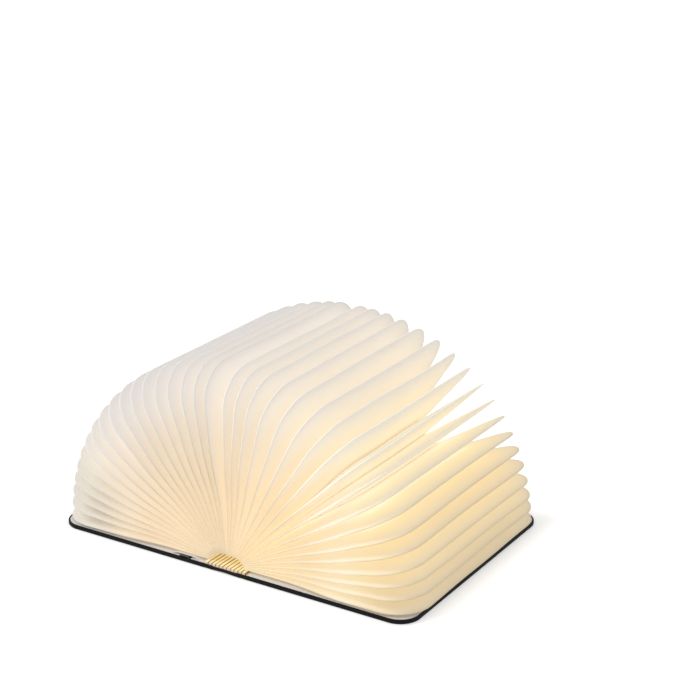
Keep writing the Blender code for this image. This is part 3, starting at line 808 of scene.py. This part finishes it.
def bar(vertices, faces, section, ends, marks_end, kerf_shaded, centre_x, jitter):
    """Adds a bar along Y with this (x, z) section; the lists collect the faces of its ends and of its sawn sides and
    underside, which are given the dark backing colour as painted shade in the kerfs.
    """
    count = len(section)
    steps = 10
    start = len(vertices)
    for step in range(steps + 1):
        share = step / steps
        y = ends[0] + (ends[1] - ends[0]) * share
        drift = noise.noise(Vector((centre_x * 900, share * 3.0, jitter))) * 0.05 * MM
        for x, z in section:
            vertices.append((x + drift, y, z + drift * 0.5))
    for step in range(steps):
        for a in range(count):
            b = (a + 1) % count
            low, high = start + step * count, start + (step + 1) * count
            if a in (0, 1, 2, count - 2, count - 1):
                kerf_shaded.append(len(faces))
            faces.append((low + a, low + b, high + b, high + a))
    for first in (start, start + steps * count):
        marks_end.append(len(faces))
        faces.append(tuple(range(first, first + count)))


def slat_section(x, number):
    """A slat's (x, z) section: its top edges are rounded by the saw and by wear."""
    half = SLAT_HALF + noise.noise(Vector((number * 2.3, 0.5, 0.1))) * 0.06 * MM
    low = LINER_MID - 0.02 * MM
    top = LINER_TOP + noise.noise(Vector((number * 1.9, 4.5, 0.7))) * 0.12 * MM
    shape = ((-1.0, low), (1.0, low), (1.0, top - 0.42 * MM), (0.93, top - 0.16 * MM), (0.72, top - 0.03 * MM),
             (0.3, top), (-0.3, top), (-0.72, top - 0.03 * MM), (-0.93, top - 0.16 * MM), (-1.0, top - 0.42 * MM))
    return [(x + a * half, z) for a, z in shape]


def build_liner(side):
    """The slats of one half of the spine on their thin backing, or the middle slat alone."""
    vertices, faces, cut, kerf_shaded, backing = [], [], [], [], []
    numbers = range(1, SLATS // 2 + 1) if side else (0,)
    for number in numbers:
        x = side * number * SLAT_PITCH
        shift = noise.noise(Vector((number * 3.1 + side, 7.7, 2.2))) * 0.3 * MM
        ends = (-LINER_END + abs(shift), LINER_END - abs(shift) * 0.5)
        bar(vertices, faces, slat_section(x, number * (side or 1)), ends, cut, kerf_shaded, x, number * 0.7)
    if side:
        first = len(faces)
        steps = 24
        far = LINER_HALF
        base = len(vertices)
        for step in range(steps + 1):
            x = side * far * step / steps
            for y in (-LINER_END, LINER_END):
                for z in (LINER_LOW, LINER_MID):
                    vertices.append((x, y, z))
        for step in range(steps):
            a, b = base + step * 4, base + step * 4 + 4
            faces += [(a, a + 2, b + 2, b), (a + 1, b + 1, b + 3, a + 3), (a, b, b + 1, a + 1),
                      (a + 2, a + 3, b + 3, b + 2)]
        last = base + steps * 4
        faces += [(base, base + 1, base + 3, base + 2), (last, last + 2, last + 3, last + 1)]
        backing = list(range(first, len(faces)))
    name = {1: "liner_front", -1: "liner_back", 0: "liner_middle"}[side]
    made = piece(name, vertices, faces, "slat", 35.0, extra=("slat_end", "slat_backing"))
    for face in cut:
        made.data.polygons[face].material_index = 1
    # The slats' sides and undersides take the backing's dark colour: painted shade in the kerfs.
    for face in kerf_shaded + backing:
        made.data.polygons[face].material_index = 2
    if side:
        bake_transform(made)
    else:
        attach(made, "spine")
    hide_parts("spine_liner")


def outline_slab(name, outline, low, high, look, edge):
    """A flat sheet with this outline and softened edges."""
    centre = [sum(p[k] for p in outline) / len(outline) for k in (0, 1)]
    count = len(outline)
    vertices, faces = [], []
    mid = (low + high) / 2
    for inset, z in ((edge, low), (0.0, mid - (high - low) * 0.2), (0.0, mid + (high - low) * 0.2), (edge, high)):
        for k, (x, y) in enumerate(outline):
            before, after = outline[k - 1], outline[(k + 1) % count]
            along = Vector((after[0] - before[0], after[1] - before[1]))
            out = Vector((along.y, -along.x)).normalized()
            vertices.append((x - out.x * inset, y - out.y * inset, z))
    for ring in range(3):
        for k in range(count):
            nxt = (k + 1) % count
            faces.append((ring * count + k, ring * count + nxt, (ring + 1) * count + nxt, (ring + 1) * count + k))
    faces.append(tuple(range(count)))
    faces.append(tuple(range(3 * count, 4 * count)))
    return piece(name, vertices, faces, look, 30.0)


def build_endpaper(side):
    """The endpaper of one cover, cut out round the charging port on the back cover."""
    inset = 0.9 * MM
    radius, far, half = CORNER_R - inset, HALF_SPAN - inset, HALF_HIGH - inset
    start = LINER_HALF + 0.2 * MM
    points = [(start, -half)]
    if side < 0:
        near, away, deep = PORT_X - PORT_HALF - 0.2 * MM, PORT_X + PORT_HALF + 0.2 * MM, PORT_BACK + 0.2 * MM
        points += [(near - 0.3 * MM, -half), (near, -half + 0.3 * MM), (near, deep - 0.3 * MM),
                   (near + 0.3 * MM, deep), (away - 0.3 * MM, deep), (away, deep - 0.3 * MM),
                   (away, -half + 0.3 * MM), (away + 0.3 * MM, -half)]
    for corner, first in ((-1, -90.0), (1, 0.0)):
        for step in range(15):
            angle = (first + 90.0 * step / 14) * DEGREE
            points.append((far - radius + radius * math.cos(angle), corner * (half - radius) + radius * math.sin(angle)))
    points.append((start, half))
    outline = [(side * x, y) for x, y in points]
    if side < 0:
        outline.reverse()
    part = "front" if side > 0 else "back"
    made = outline_slab(part + "_paper", outline, FLAT_TOP - 0.25 * MM, FLAT_TOP, "endpaper", 0.06 * MM)
    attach(made, part + "_cover")
    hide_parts(part + "_endpaper")


def build_port_hump():
    """The endpaper's swelling over the rear of the charging port."""
    wide, long = 18, 12
    x0, x1, y0, y1 = -PORT_X - 8.6 * MM, -PORT_X + 8.6 * MM, PORT_SHOWN, PORT_SHOWN + 8.0 * MM
    vertices, faces = [], []
    for under in (0.0, 0.1 * MM):
        for i in range(wide + 1):
            for j in range(long + 1):
                x, y = x0 + (x1 - x0) * i / wide, y0 + (y1 - y0) * j / long
                aside = smooth(1 - (abs(x + PORT_X) - 3.6 * MM) / (4.6 * MM))
                back = smooth(1 - (y - y0 - 1.2 * MM) / (6.4 * MM))
                z = FLAT_TOP + 0.02 * MM + (PORT_TOP - FLAT_TOP + 0.1 * MM) * aside * back
                vertices.append((x, y, z - under * (1 if aside * back > 0.05 else 0.6)))
    size, row = (wide + 1) * (long + 1), long + 1
    for i in range(wide):
        for j in range(long):
            a = i * row + j
            faces.append((a, a + row, a + row + 1, a + 1))
            faces.append(tuple(size + v for v in (a, a + 1, a + row + 1, a + row)))
    border = [i * row for i in range(wide)] + [wide * row + j for j in range(long)]
    border += [i * row + long for i in range(wide, 0, -1)] + [j for j in range(long, 0, -1)]
    for k, a in enumerate(border):
        b = border[(k + 1) % len(border)]
        faces.append((a, b, size + b, size + a))
    made = piece("port_paper", vertices, faces, "endpaper", 60.0)
    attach(made, "back_cover")


def ring_along(name, outer, inner, stations, look):
    """A tube with unlike outer and inner (x, z) outlines; stations are (y, outer inset, inner inset)."""
    count = len(outer)
    vertices, faces = [], []

    def ring(outline, y, inset):
        mid_x = sum(p[0] for p in outline) / count
        mid_z = sum(p[1] for p in outline) / count
        wide = max(abs(p[0] - mid_x) for p in outline)
        tall = max(abs(p[1] - mid_z) for p in outline)
        for x, z in outline:
            vertices.append((mid_x + (x - mid_x) * (1 - inset / wide), y, mid_z + (z - mid_z) * (1 - inset / tall)))

    for y, outside, _ in stations:
        ring(outer, y, outside)
    for y, _, inside in reversed(stations):
        ring(inner, y, inside)
    rings = 2 * len(stations)
    for r in range(rings):
        for k in range(count):
            nxt, up = (k + 1) % count, (r + 1) % rings
            faces.append((r * count + k, r * count + nxt, up * count + nxt, up * count + k))
    return piece(name, vertices, faces, look, 30.0)


def rounded_box(x0, x1, z0, z1, low_r, high_r):
    """An (x, z) outline with round corners, of 20 points, anticlockwise from the lower left."""
    points = []
    for cx, cz, radius, first in ((x0, z0, low_r, 180.0), (x1, z0, low_r, 270.0), (x1, z1, high_r, 0.0), (x0, z1, high_r, 90.0)):
        mid_x = cx + (radius if cx == x0 else -radius)
        mid_z = cz + (radius if cz == z0 else -radius)
        for step in range(5):
            angle = (first + 90.0 * step / 4) * DEGREE
            points.append((mid_x + radius * math.cos(angle), mid_z + radius * math.sin(angle)))
    return points


def build_port():
    """The low black port housing, the metal shell in it, and the tongue with its contacts."""
    front, shown, back = -HALF_HIGH + 0.1 * MM, PORT_SHOWN, PORT_BACK
    outer = rounded_box(-PORT_X - PORT_HALF, -PORT_X + PORT_HALF, PORT_LOW, PORT_TOP, 0.15 * MM, 0.75 * MM)
    wide = PORT_HALF - 0.35 * MM
    inner = rounded_box(-PORT_X - wide, -PORT_X + wide, PORT_LOW + 0.12 * MM, PORT_TOP - 0.32 * MM, 0.5 * MM, 0.7 * MM)
    stations = ((front, 0.12 * MM, 0.0), (front + 0.12 * MM, 0.0, 0.02 * MM), (shown, 0.0, 0.02 * MM),
                (shown + 0.2 * MM, 0.16 * MM, 0.04 * MM), (back, 0.2 * MM, 0.06 * MM))
    housing = ring_along("port_cover", outer, inner, stations, "plastic")
    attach(housing, "back_cover")
    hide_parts("port_housing")

    shell_half = PORT_HALF - 0.5 * MM
    low, high = PORT_LOW + 0.2 * MM, PORT_TOP - 0.5 * MM
    outer = rounded_box(-PORT_X - shell_half, -PORT_X + shell_half, low, high, 0.75 * MM, 0.35 * MM)
    thin = 0.2 * MM
    inner = rounded_box(-PORT_X - shell_half + thin, -PORT_X + shell_half - thin, low + thin, high - thin, 0.6 * MM, 0.25 * MM)
    mouth = front + 1.1 * MM
    stations = ((mouth, 0.0, -0.08 * MM), (mouth + 0.25 * MM, 0.0, 0.0), (back - 0.2 * MM, 0.0, 0.0))
    shell = ring_along("usb_shell", outer, inner, stations, "steel")
    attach(shell, "back_cover")
    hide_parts("usb_socket")

    tongue_half, mid = shell_half * 0.66, (low + high) / 2 + 0.25 * MM
    section = rounded_box(-PORT_X - tongue_half, -PORT_X + tongue_half, mid - 0.28 * MM, mid + 0.28 * MM, 0.1 * MM, 0.1 * MM)
    vertices, faces = [], []
    steps = ((mouth + 0.5 * MM, 0.14 * MM), (mouth + 0.7 * MM, 0.0), (back - 0.5 * MM, 0.0))
    for y, inset in steps:
        for x, z in section:
            vertices.append((-PORT_X + (x + PORT_X) * (1 - inset / tongue_half), y, mid + (z - mid) * (1 - inset / (0.5 * MM))))
    for r in range(len(steps) - 1):
        for k in range(20):
            nxt = (k + 1) % 20
            faces.append((r * 20 + k, r * 20 + nxt, (r + 1) * 20 + nxt, (r + 1) * 20 + k))
    faces += [tuple(range(20)), tuple(range(40, 60))]
    tongue = piece("usb_tongue", vertices, faces, "plastic", 30.0)
    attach(tongue, "back_cover")

    for number in range(5):
        x = -PORT_X + (number - 2) * 0.58 * MM
        contact = rounded_box(x - 0.2 * MM, x + 0.2 * MM, mid - 0.36 * MM, mid - 0.27 * MM, 0.03 * MM, 0.02 * MM)
        vertices = [(a, y, z) for y in (mouth + 0.9 * MM, back - 0.6 * MM) for a, z in contact]
        faces = [(k, (k + 1) % 20, 20 + (k + 1) % 20, 20 + k) for k in range(20)]
        faces += [tuple(range(20)), tuple(range(20, 40))]
        pin = piece(f"usb_contact_{number + 1}", vertices, faces, "copper", 30.0)
        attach(pin, "back_cover")


def build_lead():
    """The flat lead from the control board to the light strip, built straight where it passes the back cover's hinge.
    """
    low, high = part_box("led_lead")
    wide, thick = high[1] - low[1], high[2] - low[2]
    section = [(low[1] + across * wide, low[2] + up * thick) for across, up in LEAD_SECTION]
    vertices, faces = [], []
    count = len(section)
    for step in range(LEAD_STEPS + 1):
        x = low[0] + (high[0] - low[0]) * step / LEAD_STEPS
        vertices += [(x, y, z) for y, z in section]
    for step in range(LEAD_STEPS):
        for k in range(count):
            a, b = step * count + k, step * count + (k + 1) % count
            faces.append((a, b, b + count, a + count))
    faces += [tuple(range(count)), tuple(range(len(vertices) - count, len(vertices)))]
    lead = piece("strip_lead", vertices, faces, "copper", 30.0)
    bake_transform(lead)
    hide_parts("led_lead")


def build_light_strip():
    """The strip of chips along the spine: the tape, and a body and phosphor top for each chip; the soldered joints at
    both ends of each chip are not built.
    """
    low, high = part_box("led_strip")
    top = low[2] + 0.25 * MM
    half = (high[0] - low[0]) / 2
    outline = [(-half + 0.3 * MM, low[1]), (half - 0.3 * MM, low[1]), (half, low[1] + 0.3 * MM), (half, high[1] - 0.3 * MM),
               (half - 0.3 * MM, high[1]), (-half + 0.3 * MM, high[1]), (-half, high[1] - 0.3 * MM), (-half, low[1] + 0.3 * MM)]
    tape = outline_slab("led_tape", outline, low[2], top, "circuit", 0.04 * MM)
    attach(tape, "spine")
    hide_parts("led_strip")
    for number in range(CHIPS):
        y = low[1] + (number + 0.5) / CHIPS * (high[1] - low[1])
        for part, wide, long, base, tall, look in (
            ("body", 1.4, 1.75, 0.0, 0.62, "circuit"), ("glow", 1.1, 1.4, 0.5, 0.7, "phosphor"),
        ):
            vertices, faces = [], []
            for grow, z in ((0.0, base), (0.0, tall - 0.12), (-0.12, tall)):
                x, l = (wide + grow) * MM, (long + grow) * MM
                vertices += [(a, y + b, top + z * MM) for a, b in ((-x, -l), (x, -l), (x, l), (-x, l))]
            for r in range(2):
                faces += [(r * 4 + k, r * 4 + (k + 1) % 4, r * 4 + 4 + (k + 1) % 4, r * 4 + 4 + k) for k in range(4)]
            faces += [(0, 1, 2, 3), (8, 9, 10, 11)]
            chip = piece(f"led_{part}_{number + 1:02d}", vertices, faces, look, 30.0)
            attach(chip, "spine")


LEAD_STEPS = 48
# across the flat lead and up through it, each from 0 to 1: a film with two raised conductors
LEAD_SECTION = (
    (0.0, 0.3), (0.03, 0.0), (0.97, 0.0), (1.0, 0.3), (0.97, 0.7), (0.85, 0.7), (0.82, 1.0), (0.58, 1.0), (0.55, 0.7),
    (0.45, 0.7), (0.42, 1.0), (0.18, 1.0), (0.15, 0.7), (0.03, 0.7),
)
SPINE_LIFT = 0.3 * MM
GROOVE = 0.12 * MM
GROOVE_X = 9.8 * MM
SLATS = 11
SLAT_PITCH = 2.02 * MM
SLAT_HALF = 0.82 * MM
LINER_LOW = 1.1 * MM
LINER_MID = 1.9 * MM
LINER_TOP = 3.1 * MM
LINER_HALF = 11.1 * MM
LINER_END = 61.9 * MM
PORT_X = 22.2 * MM
PORT_HALF = 2.8 * MM
PORT_LOW = 0.6 * MM
PORT_TOP = 3.0 * MM
PORT_BACK = -57.2 * MM
PORT_SHOWN = -61.1 * MM
CHIPS = 10

for side in (1, -1):
    build_skin(side)
    build_endpaper(side)
for side in (1, -1, 0):
    build_liner(side)
build_port()
build_port_hump()
build_light_strip()
build_lead()


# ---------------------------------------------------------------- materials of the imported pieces

NODE_LOOKS = {
    "back_board": "board", "front_board": "board", "spine_card": "board",
    "cell_lead": "copper", "control_board": "circuit", "opening_sensor": "chip", "battery_cell": "cell",
    "back_magnet": "steel", "front_magnet": "steel",
}


def dress(name, look):
    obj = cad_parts[name]
    obj.data.materials.clear()
    obj.data.materials.append(LOOKS[look].material)
    mesh = obj.data
    places = np.zeros(len(mesh.vertices) * 3, np.float32)
    mesh.vertices.foreach_get("co", places)
    rest = mesh.attributes.new("rest", "FLOAT_VECTOR", "POINT")
    rest.data.foreach_set("vector", places)


for name, look in NODE_LOOKS.items():
    dress(name, look)
